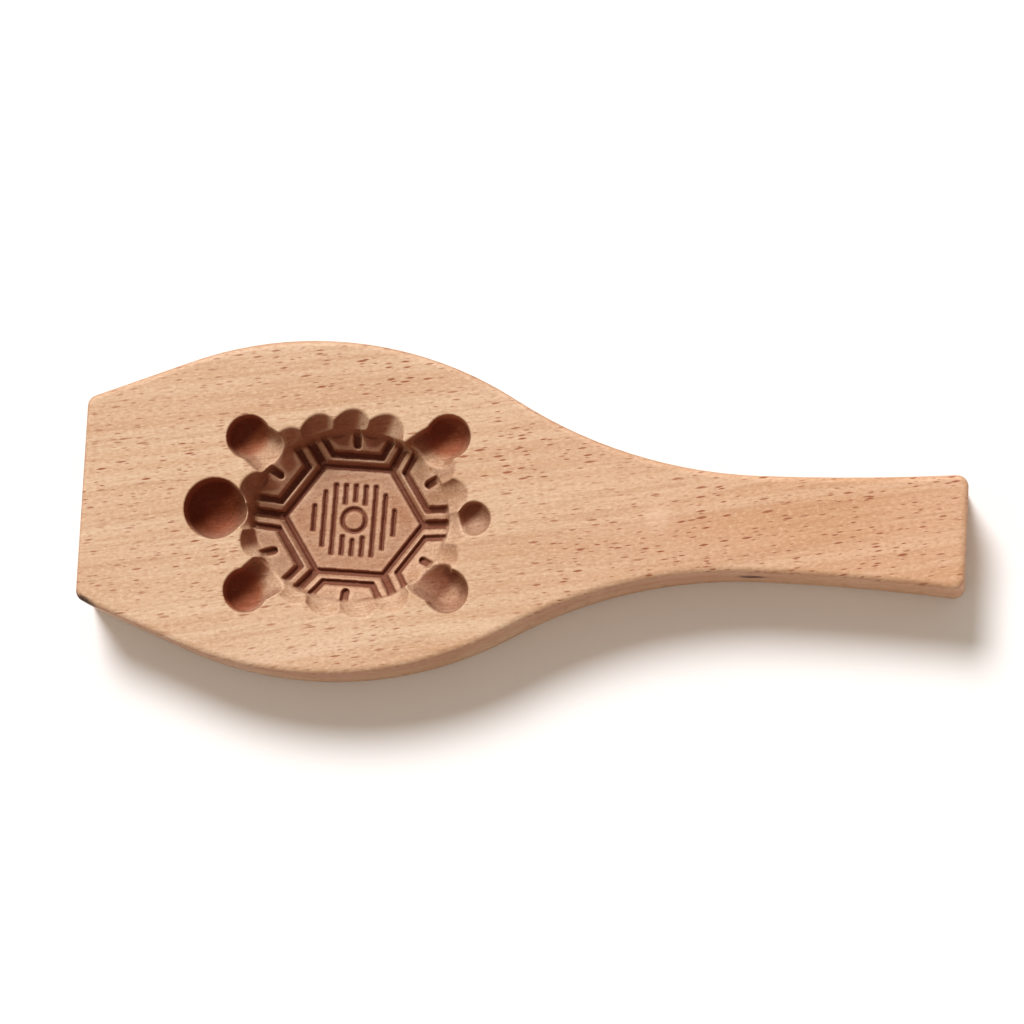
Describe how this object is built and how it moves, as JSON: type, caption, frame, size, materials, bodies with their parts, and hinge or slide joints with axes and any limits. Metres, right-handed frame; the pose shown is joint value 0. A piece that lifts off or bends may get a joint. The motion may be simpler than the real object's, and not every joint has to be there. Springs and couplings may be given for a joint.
{
  "type": "wooden cookie mould",
  "caption": "Flat beech cookie mould: wide blade with a turtle-shaped carved hollow, waisted handle, rounded edges.",
  "frame": {"origin": "middle of the board's flat back, under the centre of its bounding box", "axes": "+X along the board from the head end to the handle end, +Y across the board, +Z out of the carved face"},
  "size_m": [0.235, 0.0892, 0.024],
  "materials": {
    "beech": "sanded, unvarnished"
  },
  "bodies": {
    "root": {"mould_board": "beech"}
  },
  "joints": []
}
